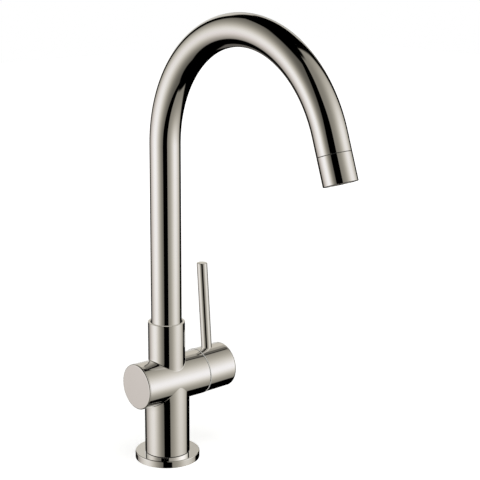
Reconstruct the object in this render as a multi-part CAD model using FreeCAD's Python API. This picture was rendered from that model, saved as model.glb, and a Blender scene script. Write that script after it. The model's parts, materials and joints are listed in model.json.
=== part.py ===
import FreeCAD, Part
import math
import os

from FreeCAD import Vector

# Single-lever kitchen mixer tap, in millimetres. The origin is the centre of the deck face, +Z is up,
# the spout reaches towards -Y and the handle stands on the +X end of the barrel.

# Base flange and its gasket
flange_diameter = 60.0
flange_thickness = 6.5
flange_edge_round = 0.8
gasket_inset = 4.0              # edge of the flange to the gasket groove
gasket_width = 3.0
gasket_thickness = 2.0

# Cast body: stem, cross barrel and collar
barrel_height = 76.0            # barrel axis above the deck
barrel_reach = 35.0             # column axis to either end of the barrel
barrel_wall = 2.0               # at the threaded mouth
barrel_chamfer = 0.6            # on the edge beside the handle
stem_step = 0.2                 # stem radius below barrel radius
collar_height = 56.0            # barrel axis to the collar rim
collar_wall = 2.2
rim_gap = 0.8                   # spout tube to the inside of the collar rim
rim_round = 0.3
junction_fillet = 1.0
spigot_shoulder = 1.5           # stem radius below which the spigot enters the flange
spigot_wall = 2.0
spigot_lift = 0.5               # keeps the spigot off the deck

# Supply side, in the hollow foot of the stem
hose_cavity_height = 30.0
inlet_spacing = 17.0            # hot to cold
inlet_radius = 4.46             # M10 x 1 tapping
inlet_depth = 12.0
stud_offset = 9.0               # column axis to the fixing stud
stud_radius = 3.4               # M8 tapping
stud_depth = 14.0

# Waterways from the inlets to the cartridge seat and up to the spout
waterway_radius = 3.2
inlet_setback = 5.0             # cartridge seat to the rising hot and cold ways
outlet_setback = 6.2            # cartridge seat to the rising mixed way
mixed_radius = 3.0
well_floor = 2.3                # metal between the cartridge bore and the well under the spout
well_depth = 3.5
well_lip = 2.1                  # ledge round the well that carries the thrust washer

# Plug in the other end of the barrel
cap_thickness = 1.5
cap_edge_round = 1.0
cap_spigot_length = 7.0
pocket_wall = 3.5               # barrel radius to the pocket behind the cap
pocket_floor = 4.0              # metal between the pocket and the mixed way

# Spout
tube_diameter = 28.0
tube_wall = 1.5
neck_length = 163.9             # collar rim to the start of the bend
bend_radius = 108.0
bend_angle = 160.5
tip_straight = 16.2             # end of the bend to the aerator seam
nipple_length = 13.5            # below the foot of the tube
nipple_step = 0.8               # tube radius to nipple radius
nipple_wall = 3.7
nipple_plug = 12.0              # length brazed inside the tube
bush_length = 13.0
bush_overlap = 1.0              # bush seat below the foot of the tube
washer_thickness = 1.0
screw_groove_width = 4.6
screw_groove_depth = 1.3
spout_screw_radius = 2.0        # M4
spout_screw_tip_gap = 0.3
spout_screw_recess = 0.4

# Aerator
aerator_length = 23.2
aerator_seam = 0.35             # fine groove between the tube and the sleeve
ferrule_plug = 10.0             # length brazed inside the tube
ferrule_thread = 9.0            # length of the thread below the seam
ferrule_thread_step = 2.0       # tube radius to thread radius
ferrule_wall = 2.0
aerator_gasket_thickness = 1.5
insert_flange_thickness = 2.0
insert_flange_step = 1.1        # flange radius beyond the body of the insert
insert_wall = 1.4
insert_plate = 3.0
insert_recess = 2.2             # insert face to the mouth of the housing
jet_radius = 0.8
jet_pitch = 2.5
jet_rings = 3
aerator_edge_round = 0.5

# Handle and lever
seam_gap = 1.0
handle_length = 31.2
handle_rise = 1.6               # degrees that the shut handle points above the barrel's line
handle_end_round = 3.0
handle_rim_slope = 0.43         # depth of the cone that bevels the rim down to the cup
handle_rim_round = 0.2
swing_clearance = 0.25          # barrel edge to the cup of the handle
lever_diameter = 9.8
lever_setback = 11.6            # handle rim to the lever axis
lever_length = 83.0             # above the handle
lever_lean = 3.7                # degrees towards the column
lever_seat = 1.0                # depth of the spot face under the lever
lever_edge_round = 0.6
lever_stud_radius = 2.5
lever_stud_length = 9.0
handle_screw_radius = 2.5       # M5
handle_screw_length = 8.0
handle_screw_setback = 17.0     # handle rim to the screw
hex_share = 0.5                 # key size as a share of the screw diameter
hex_depth = 2.0

# Ceramic cartridge, from the pivot down to its seat
cartridge_diameter = 35.0
pivot_inset = 15.0              # barrel end to the lever pivot
lift_angle = 22.0               # full opening of the lever, degrees
ball_arm = 7.2                  # pivot to the ball of the stem
ball_radius = 2.6
stem_neck_radius = 1.9
stem_hub_radius = 5.0
stem_width = 8.0
stem_reach = 40.0               # pivot to the outer end of the stem
stem_end_chamfer = 0.8
pin_radius = 2.0
pin_inset = 1.0                 # pin ends below the side of the carrier
housing_wall = 3.0
neck_wall = 1.1
neck_lip = 1.5                  # inward lip that keeps the carrier in
lip_thickness = 1.8
carrier_length = 15.4
driver_floor = 0.5
driver_thickness = 5.5
driver_radius = 11.5
driver_flat = 10.0              # carrier axis to the flats that slide in the carrier
driver_peg_radius = 1.2
driver_peg_length = 1.8
driver_peg_offset = 8.5
pocket_flare = 1.0
disc_thickness = 3.5
moving_disc_radius = 11.0
chamber_depth = 2.2
chamber_width = 13.0
chamber_top = 1.4               # chamber edges above and below the cartridge axis, closed
chamber_bottom = 7.0
chamber_corner = 2.0
base_thickness = 4.5
port_half_spacing = 6.5         # hot and cold ports each side of the cartridge axis
port_rise = 4.5                 # hot and cold ports above the axis
outlet_drop = 6.5               # mixed port below the axis
port_radius = 2.8
outlet_radius = 3.4
disc_port_step = 0.2            # disc ports below base ports in radius
port_sweep = 25.0               # degrees that the hot and cold disc ports run on as crescents
seal_width = 1.5
seal_thickness = 1.6
locating_peg_radius = 1.3
locating_peg_length = 2.5
locating_peg_offset = 14.2
mouth_depth = 6.0               # barrel end to the shoulder that the nut clamps
mouth_step = 1.3                # mouth radius beyond the cartridge bore
nut_thickness = 4.4
nut_slots = 6
nut_slot_width = 3.0
nut_slot_depth = 1.5
bonnet_wall = 1.5
bonnet_seat = 0.2               # end face of the barrel that shows round the bonnet
bonnet_spigot_width = 1.6

# Seals and fits
ring_section = 2.0              # diameter of the O-rings
press_gap = 0.05                # fixed fits
running_gap = 0.1               # turning fits
loose_gap = 0.2                 # guided and threaded fits
side_gap = 0.6                  # idle faces that pass each other

# Worked out from the sizes above
X = Vector(1, 0, 0)
Y = Vector(0, 1, 0)
Z = Vector(0, 0, 1)
O = Vector(0, 0, 0)

cartridge_radius = cartridge_diameter / 2
bore_radius = cartridge_radius + loose_gap
mouth_radius = bore_radius + mouth_step
barrel_radius = mouth_radius + barrel_wall
stem_radius = barrel_radius - stem_step
spigot_radius = stem_radius - spigot_shoulder
cavity_radius = spigot_radius - spigot_wall
flange_radius = flange_diameter / 2
pocket_radius = barrel_radius - pocket_wall
tube_radius = tube_diameter / 2
tube_bore = tube_radius - tube_wall
recess_radius = tube_radius + rim_gap
collar_radius = recess_radius + collar_wall
collar_top = barrel_height + collar_height
bend_start = collar_top + neck_length
barrel_axis = Vector(0, 0, barrel_height)

pivot_x = barrel_reach - pivot_inset
pivot = Vector(pivot_x, 0, barrel_height)
ball_x = pivot_x - ball_arm
driver_foot = ball_x - ball_radius - loose_gap - driver_floor
driver_top = driver_foot + driver_thickness
moving_foot = driver_foot - disc_thickness
fixed_foot = moving_foot - disc_thickness
seat_x = fixed_foot - base_thickness
carrier_foot = driver_top + side_gap
carrier_top = carrier_foot + carrier_length
housing_top = carrier_top + loose_gap + lip_thickness
shoulder_x = barrel_reach - mouth_depth
nut_top = shoulder_x + nut_thickness
housing_bore = cartridge_radius - housing_wall
carrier_radius = housing_bore - loose_gap
housing_neck = housing_bore + neck_wall
inlet_x = seat_x - inlet_setback
outlet_x = seat_x - outlet_setback
pocket_x = outlet_x - mixed_radius - pocket_floor
cap_x = cap_thickness - barrel_reach
lift = math.radians(lift_angle)

well_z = barrel_height + bore_radius + well_floor
ledge_z = well_z + well_depth
nipple_z = ledge_z + washer_thickness
tube_foot = nipple_z + nipple_length
bush_z = tube_foot - bush_overlap
nipple_radius = tube_radius - nipple_step
socket_radius = nipple_radius + loose_gap
nipple_bore = nipple_radius - nipple_wall
ring_groove_radius = socket_radius - press_gap - ring_section
ring_groove_width = ring_section + loose_gap
screw_groove_z = tube_foot - bush_overlap - loose_gap - screw_groove_width / 2

edge_reach = max(
    math.hypot(pivot_inset, barrel_radius - barrel_chamfer),
    math.hypot(pivot_inset - barrel_chamfer, barrel_radius))
cup_radius = edge_reach + swing_clearance
bonnet_foot = barrel_radius - barrel_chamfer - bonnet_seat
bonnet_radius = math.hypot(pivot_inset, bonnet_foot)
rim_x = barrel_reach + seam_gap
rim_radius = math.sqrt(cup_radius ** 2 - (rim_x - pivot_x) ** 2)
handle_end = rim_x + handle_length
cup_floor = pivot_x + cup_radius
stem_end = pivot_x + stem_reach
lever_radius = lever_diameter / 2
lean = math.radians(lever_lean)
lever_axis = Vector(-math.sin(lean), 0, math.cos(lean))
rise = math.radians(handle_rise)
handle_axis = Vector(math.cos(rise), 0, math.sin(rise))
handle_up = Vector(-math.sin(rise), 0, math.cos(rise))
lever_foot = pivot + handle_axis * (rim_x - pivot_x + lever_setback) + handle_up * barrel_radius

bend_turn = math.radians(bend_angle)
bend_centre = Vector(0, -bend_radius, bend_start)
flow = Vector(0, -math.sin(bend_turn), math.cos(bend_turn))
seam = bend_centre + Vector(0, math.cos(bend_turn), math.sin(bend_turn)) * bend_radius + flow * tip_straight


def at(x, y, z):
    """Point at x along the barrel, with y and z counted from the barrel axis."""
    return Vector(x, y, barrel_height + z)


def square_to(axis):
    """Direction square to an axis that lies along X or in the YZ plane."""
    return X if abs(axis.dot(X)) < 0.5 else Y


def rod(radius, start, end):
    """Solid cylinder between two points."""
    span = end - start
    return Part.makeCylinder(radius, span.Length, start, span)


def tube(outer, inner, start, end):
    """Hollow cylinder between two points."""
    return rod(outer, start, end).cut(rod(inner, start, end))


def lathe(outline, origin, axis):
    """Solid turned from (radius, distance along the axis) corners."""
    side = square_to(axis)
    corners = [origin + side * radius + axis * along for radius, along in outline]
    face = Part.Face(Part.makePolygon(corners + corners[:1]))
    return face.revolve(origin, axis, 360)


def prism(corners, vector):
    """Solid drawn out from a flat outline."""
    return Part.Face(Part.makePolygon(corners + corners[:1])).extrude(vector)


def block(low, high):
    """Box between two corners."""
    size = high - low
    return Part.makeBox(size.x, size.y, size.z, low)


def hexagon(centre, axis, across, depth):
    """Hexagonal key socket sunk from centre along axis."""
    side = square_to(axis)
    other = axis.cross(side)
    corner = across / math.sqrt(3)
    turns = [math.radians(60 * step) for step in range(6)]
    points = [centre + (side * math.cos(turn) + other * math.sin(turn)) * corner for turn in turns]
    return prism(points, axis * depth)


def grub_screw(radius, tip, head):
    """Headless screw with a hexagonal socket in its outer end."""
    inward = (tip - head).normalize()
    return rod(radius, tip, head).cut(hexagon(head, inward, radius * 2 * hex_share, hex_depth))


def round_circles(shape, radius, centre, size):
    """Round the circular edges of one radius about one centre."""
    edges = []
    for edge in shape.Edges:
        circle = edge.Curve
        if circle.TypeId == "Part::GeomCircle" and abs(circle.Radius - radius) < 1e-6:
            if circle.Center.distanceToPoint(centre) < 1e-6:
                edges.append(edge)
    return shape.makeFillet(size, edges)


def base_flange():
    """Flat round plate with a bore for the stem and a gasket groove underneath."""
    bore = spigot_radius + running_gap
    plate = tube(flange_radius, bore, O, Z * flange_thickness)
    plate = round_circles(plate, flange_radius, Z * flange_thickness, flange_edge_round)
    outer = flange_radius - gasket_inset + running_gap
    inner = flange_radius - gasket_inset - gasket_width - running_gap
    return plate.cut(tube(outer, inner, O, Z * gasket_thickness))


def deck_gasket():
    """Flat rubber ring pressed level with the deck face."""
    outer = flange_radius - gasket_inset
    return tube(outer, outer - gasket_width, O, Z * gasket_thickness)


def body_outside():
    """Stem, barrel and collar joined, with small blends where they meet."""
    stem = rod(stem_radius, Z * flange_thickness, barrel_axis)
    barrel = rod(barrel_radius, at(cap_x, 0, 0), at(barrel_reach, 0, 0))
    collar = rod(collar_radius, barrel_axis, Z * collar_top)
    joined = barrel.fuse([stem, collar]).removeSplitter()
    seams = [edge for edge in joined.Edges if is_junction(edge)]
    joined = joined.makeFillet(junction_fillet, seams)
    joined = round_circles(joined, collar_radius, Z * collar_top, rim_round)
    mouth = lathe(
        [
            (barrel_radius - barrel_chamfer, barrel_reach),
            (barrel_radius + barrel_chamfer, barrel_reach),
            (barrel_radius + barrel_chamfer, barrel_reach - 2 * barrel_chamfer),
        ],
        barrel_axis, X)
    spigot = rod(spigot_radius, Z * spigot_lift, Z * flange_thickness)
    return joined.cut(mouth).fuse(spigot)


def is_junction(edge):
    """True for an edge of the curves where the barrel meets the stem or the collar."""
    box = edge.BoundBox
    inside = max(abs(box.XMin), abs(box.XMax)) < min(barrel_reach, -cap_x) - junction_fillet
    between = flange_thickness + junction_fillet < box.ZMin and box.ZMax < collar_top - junction_fillet
    return inside and between and edge.Curve.TypeId != "Part::GeomLine"


def mixer_body():
    """Casting with the cartridge bore, spout socket, waterways and hose connections."""
    inlet_y = inlet_spacing / 2
    cuts = [
        rod(bore_radius, at(seat_x, 0, 0), at(barrel_reach, 0, 0)),
        rod(mouth_radius, at(shoulder_x - side_gap, 0, 0), at(barrel_reach, 0, 0)),
        rod(pocket_radius, at(cap_x, 0, 0), at(pocket_x, 0, 0)),
        rod(cavity_radius, O, Z * hose_cavity_height),
        rod(stud_radius, X * stud_offset, Vector(stud_offset, 0, hose_cavity_height + stud_depth)),
        rod(recess_radius, Z * bush_z, Z * collar_top),
        rod(socket_radius, Z * ledge_z, Z * bush_z),
        rod(socket_radius - well_lip, Z * well_z, Z * ledge_z),
        rod(mixed_radius, at(seat_x, 0, -outlet_drop), at(outlet_x, 0, -outlet_drop)),
        rod(mixed_radius, at(outlet_x, 0, -outlet_drop), Vector(outlet_x, 0, ledge_z)),
        rod(spout_screw_radius + press_gap, Z * screw_groove_z, Vector(0, collar_radius, screw_groove_z)),
    ]
    for side in (-1, 1):
        foot = Vector(inlet_x, side * inlet_y, hose_cavity_height)
        top = at(inlet_x, side * inlet_y, port_rise)
        port = at(seat_x, side * port_half_spacing, port_rise)
        peg = at(seat_x, side * locating_peg_offset, 0)
        cuts.append(rod(inlet_radius, foot, foot + Z * inlet_depth))
        cuts.append(rod(waterway_radius, foot, top))
        cuts.append(rod(port_radius, port, port - X * inlet_setback))
        cuts.append(rod(locating_peg_radius + running_gap, peg, peg - X * (locating_peg_length + loose_gap)))
    return body_outside().cut(cuts)


def barrel_end_cap():
    """Plain disc that closes the barrel, with a plug that carries an O-ring."""
    plug_radius = pocket_radius - running_gap
    plug_end = cap_x + cap_spigot_length
    disc = rod(barrel_radius, at(-barrel_reach, 0, 0), at(cap_x, 0, 0))
    disc = round_circles(disc, barrel_radius, at(-barrel_reach, 0, 0), cap_edge_round)
    plug = rod(plug_radius, at(cap_x, 0, 0), at(plug_end, 0, 0))
    groove = tube(
        barrel_radius, pocket_radius - press_gap - ring_section,
        at(end_ring_x() - ring_groove_width / 2, 0, 0), at(end_ring_x() + ring_groove_width / 2, 0, 0))
    hollow = rod(plug_radius - pocket_wall - ring_section, at(cap_x, 0, 0), at(plug_end, 0, 0))
    return disc.fuse(plug.cut([groove, hollow])).removeSplitter()


def end_ring_x():
    """Middle of the O-ring on the end cap."""
    return cap_x + cap_spigot_length / 2


def o_ring(outside, centre, axis):
    """O-ring by its outside radius."""
    section = ring_section / 2
    return Part.makeTorus(outside - section, section, centre, axis)


def end_cap_o_ring():
    """O-ring on the plug of the end cap."""
    return o_ring(pocket_radius - press_gap, at(end_ring_x(), 0, 0), X)


def spout_ring_heights():
    """Middles of the two O-rings on the nipple, in equal lands below the screw groove."""
    top = screw_groove_z - screw_groove_width / 2
    land = (top - nipple_z - 2 * ring_groove_width) / 3
    first = nipple_z + land + ring_groove_width / 2
    return first, first + land + ring_groove_width


def spout_nipple():
    """Turned end piece with two O-ring grooves and a groove for the retaining screw."""
    body = lathe(
        [
            (nipple_bore, nipple_z),
            (nipple_radius, nipple_z),
            (nipple_radius, tube_foot),
            (tube_bore - press_gap, tube_foot),
            (tube_bore - press_gap, tube_foot + nipple_plug),
            (nipple_bore, tube_foot + nipple_plug),
        ],
        O, Z)
    half = screw_groove_width / 2
    grooves = [
        tube(tube_radius, nipple_radius - screw_groove_depth,
             Z * (screw_groove_z - half), Z * (screw_groove_z + half))
    ]
    for height in spout_ring_heights():
        low = Z * (height - ring_groove_width / 2)
        grooves.append(tube(tube_radius, ring_groove_radius, low, low + Z * ring_groove_width))
    return body.cut(grooves)


def spout_o_rings():
    """Pair of O-rings that seal the nipple in the collar."""
    outside = ring_groove_radius + ring_section
    return Part.makeCompound([o_ring(outside, Z * height, Z) for height in spout_ring_heights()])


def spout_bush():
    """Bearing sleeve between the tube and the collar, below the open rim."""
    return tube(recess_radius - press_gap, tube_radius + running_gap, Z * bush_z, Z * (bush_z + bush_length))


def spout_thrust_washer():
    """Ring that the foot of the spout turns on."""
    return tube(nipple_radius, socket_radius - well_lip, Z * ledge_z, Z * nipple_z)


def spout_grub_screw():
    """Screw in the back of the collar whose tip runs in the nipple's groove."""
    tip = nipple_radius - screw_groove_depth + spout_screw_tip_gap
    head = collar_radius - spout_screw_recess
    return grub_screw(spout_screw_radius, Vector(0, tip, screw_groove_z), Vector(0, head, screw_groove_z))


def pipe(radius):
    """Solid along the centre line of the spout: straight neck, bend and straight tip."""
    rise = Part.LineSegment(Z * tube_foot, Z * bend_start).toShape()
    half = bend_turn / 2
    middle = bend_centre + Vector(0, math.cos(half), math.sin(half)) * bend_radius
    bend_end = seam - flow * tip_straight
    bend = Part.Arc(Z * bend_start, middle, bend_end).toShape()
    tip = Part.LineSegment(bend_end, seam).toShape()
    section = Part.Wire(Part.makeCircle(radius, Z * tube_foot, Z))
    return Part.Wire([rise, bend, tip]).makePipeShell([section], True, False)


def spout_tube():
    """Gooseneck of drawn tube."""
    return pipe(tube_radius).cut(pipe(tube_bore))


def outlet_ferrule():
    """Threaded end piece brazed into the tip of the tube."""
    thread = tube_radius - ferrule_thread_step
    return lathe(
        [
            (thread - ferrule_wall, -ferrule_plug),
            (tube_bore - press_gap, -ferrule_plug),
            (tube_bore - press_gap, 0),
            (thread, 0),
            (thread, ferrule_thread),
            (thread - ferrule_wall, ferrule_thread),
        ],
        seam, flow)


def insert_radii():
    """Radii of the insert's flange and of its body."""
    flange = tube_radius - ferrule_thread_step
    return flange, flange - insert_flange_step


def aerator_stack():
    """Distances below the seam: gasket, insert flange, shoulder and insert face."""
    gasket = ferrule_thread
    flange = gasket + aerator_gasket_thickness
    shoulder = flange + insert_flange_thickness
    return gasket, flange, shoulder, aerator_length - insert_recess


def aerator_gasket():
    """Rubber ring between the ferrule and the insert."""
    gasket, flange, _, _ = aerator_stack()
    outer, _ = insert_radii()
    return tube(outer, outer - ferrule_wall, seam + flow * gasket, seam + flow * flange)


def aerator_insert():
    """Flanged cup whose floor is a honeycomb of jets."""
    _, flange, shoulder, face = aerator_stack()
    outer, body = insert_radii()
    inner = body - insert_wall
    cup = lathe(
        [
            (0, face - insert_plate),
            (inner, face - insert_plate),
            (inner, flange),
            (outer, flange),
            (outer, shoulder),
            (body, shoulder),
            (body, face),
            (0, face),
        ],
        seam, flow)
    sideways = flow.cross(X)
    jets = []
    for column in range(-jet_rings, jet_rings + 1):
        for row in range(-jet_rings, jet_rings + 1):
            if abs(column + row) <= jet_rings:
                offset = X * (column + row / 2) + sideways * (row * math.sqrt(3) / 2)
                mouth = seam + flow * face + offset * jet_pitch
                jets.append(rod(jet_radius, mouth - flow * insert_plate, mouth))
    return cup.cut(jets)


def aerator_housing():
    """Sleeve level with the tube, with a thread above and a shoulder that holds the insert."""
    _, _, shoulder, _ = aerator_stack()
    outer, body = insert_radii()
    sleeve = lathe(
        [
            (outer + running_gap, aerator_seam),
            (tube_radius, aerator_seam),
            (tube_radius, aerator_length),
            (body + running_gap, aerator_length),
            (body + running_gap, shoulder),
            (outer + running_gap, shoulder),
        ],
        seam, flow)
    return round_circles(sleeve, tube_radius, seam + flow * aerator_length, aerator_edge_round)


def handle_body():
    """Cylinder beyond the barrel that points slightly up, hollowed to a ball about the pivot for the tilt."""
    solid = lathe(
        [
            (0, 0),
            (rim_radius, 0),
            (barrel_radius, handle_rim_slope),
            (barrel_radius, handle_length),
            (0, handle_length),
        ],
        at(rim_x, 0, 0), X)
    solid = round_circles(solid, barrel_radius, at(handle_end, 0, 0), handle_end_round)
    solid = round_circles(solid, barrel_radius, at(rim_x + handle_rim_slope, 0, 0), handle_rim_round)
    solid.rotate(pivot, Y, -handle_rise)
    half = stem_width / 2 + running_gap
    screw_x = rim_x + handle_screw_setback
    seat = lever_foot - lever_axis * lever_seat
    cuts = [
        Part.makeSphere(cup_radius, pivot),
        block(at(pivot_x, -half, -half), at(stem_end + side_gap, half, half)),
        rod(lever_radius + press_gap, seat, lever_foot + lever_axis * lever_radius),
        rod(lever_stud_radius + press_gap, seat - lever_axis * (lever_stud_length + side_gap), seat),
        rod(handle_screw_radius + press_gap, at(screw_x, 0, -barrel_radius), at(screw_x, 0, 0)),
    ]
    return solid.cut(cuts)


def lever_rod():
    """Slim rod with a stud that screws into the handle."""
    seat = lever_foot - lever_axis * lever_seat
    top = lever_foot + lever_axis * lever_length
    shaft = rod(lever_radius, seat, top)
    shaft = round_circles(shaft, lever_radius, top, lever_edge_round)
    return shaft.fuse(rod(lever_stud_radius, seat - lever_axis * lever_stud_length, seat))


def handle_grub_screw():
    """Screw under the handle that clamps it on the stem."""
    screw_x = rim_x + handle_screw_setback
    tip = at(screw_x, 0, -stem_width / 2)
    return grub_screw(handle_screw_radius, tip, tip - Z * handle_screw_length)


def bonnet():
    """Domed ring round the stem, a zone of a ball about the pivot, plugged into the barrel's mouth."""
    swing = math.sin(lift) * bonnet_radius + math.cos(lift) * stem_width / 2
    opening = math.hypot(swing, stem_width / 2) + side_gap
    dome = Part.makeSphere(bonnet_radius, pivot).cut(Part.makeSphere(bonnet_radius - bonnet_wall, pivot))
    zone = tube(barrel_radius, opening, at(barrel_reach, 0, 0), at(cup_floor, 0, 0))
    plug = mouth_radius - running_gap
    spigot = tube(plug, plug - bonnet_spigot_width, at(nut_top + loose_gap, 0, 0), at(barrel_reach, 0, 0))
    return dome.common(zone).fuse(spigot).removeSplitter()


def cartridge_clamp_nut():
    """Ring nut that presses the cartridge on its seat, slotted for a wrench."""
    outer = mouth_radius - running_gap
    ring = tube(outer, housing_neck + loose_gap, at(shoulder_x, 0, 0), at(nut_top, 0, 0))
    slot = block(
        at(nut_top - nut_slot_depth, -nut_slot_width / 2, 0),
        at(nut_top, nut_slot_width / 2, barrel_radius))
    slots = []
    for step in range(nut_slots):
        turned = slot.copy()
        turned.rotate(barrel_axis, X, 360 / nut_slots * step)
        slots.append(turned)
    return ring.cut(slots)


def cartridge_housing():
    """Shell of the cartridge, with a shoulder for the nut and a lip that keeps the carrier in."""
    return lathe(
        [
            (housing_bore, fixed_foot),
            (cartridge_radius, fixed_foot),
            (cartridge_radius, shoulder_x),
            (housing_neck, shoulder_x),
            (housing_neck, housing_top),
            (housing_bore - neck_lip, housing_top),
            (housing_bore - neck_lip, housing_top - lip_thickness),
            (housing_bore, housing_top - lip_thickness),
        ],
        barrel_axis, X)


def ports():
    """Centres and base radii of the hot, cold and mixed ports, counted from the barrel axis."""
    return [
        (-port_half_spacing, port_rise, port_radius),
        (port_half_spacing, port_rise, port_radius),
        (0, -outlet_drop, outlet_radius),
    ]


def cartridge_base():
    """Foot of the cartridge: three ports, their seal recesses and two locating pegs."""
    base = rod(cartridge_radius, at(seat_x, 0, 0), at(fixed_foot, 0, 0))
    for y, z, radius in ports():
        seal = radius + seal_width + running_gap
        base = base.cut(rod(radius, at(seat_x, y, z), at(fixed_foot, y, z)))
        base = base.cut(rod(seal, at(seat_x, y, z), at(seat_x + seal_thickness, y, z)))
    for side in (-1, 1):
        peg = at(seat_x, side * locating_peg_offset, 0)
        base = base.fuse(rod(locating_peg_radius, peg - X * locating_peg_length, peg))
    return base


def cartridge_base_seals():
    """Rubber rings between the cartridge ports and the seat."""
    rings = []
    for y, z, radius in ports():
        rings.append(tube(radius + seal_width, radius, at(seat_x, y, z), at(seat_x + seal_thickness, y, z)))
    return Part.makeCompound(rings)


def crescent(y, z, radius, sweep):
    """Disc port that runs on from a base port along a circle about the axis, with round ends."""
    reach = math.hypot(y, z)
    outward = Vector(0, y / reach, z / reach)
    section = [(reach - radius, fixed_foot), (reach + radius, fixed_foot),
               (reach + radius, moving_foot), (reach - radius, moving_foot)]
    corners = [barrel_axis + outward * out + X * along for out, along in section]
    bend = Part.Face(Part.makePolygon(corners + corners[:1])).revolve(barrel_axis, X, sweep)
    start = rod(radius, at(fixed_foot, y, z), at(moving_foot, y, z))
    end = start.copy()
    end.rotate(barrel_axis, X, sweep)
    return [start, bend, end]


def fixed_disc():
    """Ceramic disc with a round mixed port and crescent ports for hot and cold."""
    disc = rod(housing_bore - running_gap, at(fixed_foot, 0, 0), at(moving_foot, 0, 0))
    hot, cold, mixed = ports()
    holes = [rod(mixed[2] - disc_port_step, at(fixed_foot, *mixed[:2]), at(moving_foot, *mixed[:2]))]
    holes += crescent(hot[0], hot[1], hot[2] - disc_port_step, -port_sweep)
    holes += crescent(cold[0], cold[1], cold[2] - disc_port_step, port_sweep)
    return disc.cut(holes)


def moving_disc():
    """Ceramic disc whose chamber joins the ports as it slides up, with sockets for the driver's pegs."""
    disc = rod(moving_disc_radius, at(moving_foot, 0, 0), at(driver_foot, 0, 0))
    half = chamber_width / 2
    chamber_end = moving_foot + chamber_depth
    chamber = block(at(moving_foot, -half, -chamber_bottom), at(chamber_end, half, chamber_top))
    corners = [edge for edge in chamber.Edges if edge.BoundBox.XLength > chamber_depth / 2]
    cuts = [chamber.makeFillet(chamber_corner, corners)]
    for side in (-1, 1):
        mouth = at(driver_foot, side * driver_peg_offset, 0)
        depth = driver_peg_length + running_gap
        cuts.append(rod(driver_peg_radius + running_gap, mouth - X * depth, mouth))
    return disc.cut(cuts)


def disc_driver():
    """Slider on the moving disc: flats that run in the carrier and a pocket for the ball of the stem."""
    slider = rod(driver_radius, at(driver_foot, 0, 0), at(driver_top, 0, 0)).common(
        block(at(driver_foot, -driver_flat, -driver_radius), at(driver_top, driver_flat, driver_radius)))
    pocket = ball_radius + loose_gap
    hollow = lathe(
        [
            (0, driver_foot + driver_floor),
            (pocket, driver_foot + driver_floor),
            (pocket, driver_top - pocket_flare),
            (pocket + pocket_flare, driver_top),
            (0, driver_top),
        ],
        barrel_axis, X)
    slider = slider.cut(hollow)
    for side in (-1, 1):
        peg = at(driver_foot, side * driver_peg_offset, 0)
        slider = slider.fuse(rod(driver_peg_radius, peg - X * driver_peg_length, peg))
    return slider


def tilt_slot():
    """Space that the stem sweeps inside the carrier between closed and fully lifted."""
    half = stem_width / 2 + loose_gap
    outer = carrier_top + side_gap - pivot_x
    inner = pivot_x - carrier_foot + side_gap
    neck = stem_neck_radius + loose_gap
    outside = [
        at(pivot_x, -half, half),
        at(pivot_x + outer, -half, half),
        at(pivot_x + outer, -half, -outer * math.tan(lift) - half / math.cos(lift)),
        at(pivot_x, -half, -half / math.cos(lift)),
    ]
    inside = [
        at(pivot_x, -half, neck / math.cos(lift)),
        at(pivot_x - inner, -half, inner * math.tan(lift) + neck / math.cos(lift)),
        at(pivot_x - inner, -half, -neck),
        at(pivot_x, -half, -neck),
    ]
    hub = rod(stem_hub_radius + loose_gap, at(pivot_x, -half, 0), at(pivot_x, half, 0))
    return hub.fuse([prism(outside, Y * half * 2), prism(inside, Y * half * 2)])


def cartridge_carrier():
    """Drum that turns with the handle: pivot for the stem and two legs that guide the driver."""
    drum = rod(carrier_radius, at(carrier_foot, 0, 0), at(carrier_top, 0, 0))
    leg_foot = driver_foot + side_gap
    legs = rod(carrier_radius, at(leg_foot, 0, 0), at(carrier_foot, 0, 0)).cut(
        block(at(leg_foot, -driver_flat - loose_gap, -carrier_radius),
              at(carrier_foot, driver_flat + loose_gap, carrier_radius)))
    pin = rod(pin_radius + press_gap, at(pivot_x, -carrier_radius, 0), at(pivot_x, carrier_radius, 0))
    return drum.fuse(legs).removeSplitter().cut([tilt_slot(), pin])


def stem_pivot_pin():
    """Steel pin that the stem tilts on."""
    half = carrier_radius - pin_inset
    return rod(pin_radius, at(pivot_x, -half, 0), at(pivot_x, half, 0))


def cartridge_stem():
    """Lever of the cartridge: ball, neck, hub on the pin and square shank for the handle."""
    half = stem_width / 2
    hub = rod(stem_hub_radius, at(pivot_x, -half, 0), at(pivot_x, half, 0))
    shank = block(at(pivot_x, -half, -half), at(stem_end, half, half))
    tip = [edge for edge in shank.Edges if edge.BoundBox.XMin > stem_end - press_gap]
    shank = shank.makeChamfer(stem_end_chamfer, tip)
    neck = rod(stem_neck_radius, at(ball_x, 0, 0), at(pivot_x, 0, 0))
    ball = Part.makeSphere(ball_radius, at(ball_x, 0, 0))
    hole = rod(pin_radius + running_gap, at(pivot_x, -half, 0), at(pivot_x, half, 0))
    return hub.fuse([shank, neck, ball]).removeSplitter().cut(hole)


PIECES = [
    base_flange, deck_gasket, mixer_body, barrel_end_cap, end_cap_o_ring, spout_nipple, spout_o_rings,
    spout_bush, spout_thrust_washer, spout_grub_screw, spout_tube, outlet_ferrule, aerator_gasket,
    aerator_insert, aerator_housing, handle_body, lever_rod, handle_grub_screw, bonnet, cartridge_clamp_nut,
    cartridge_housing, cartridge_base, cartridge_base_seals, fixed_disc, moving_disc, disc_driver,
    cartridge_carrier, stem_pivot_pin, cartridge_stem,
]


os.makedirs("parts", exist_ok=True)
for piece in PIECES:
    shape = piece()
    shape.exportStep("parts/" + piece.__name__ + ".step")
    print(piece.__name__, len(shape.Solids), shape.isValid(), round(shape.Volume, 1))
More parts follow.
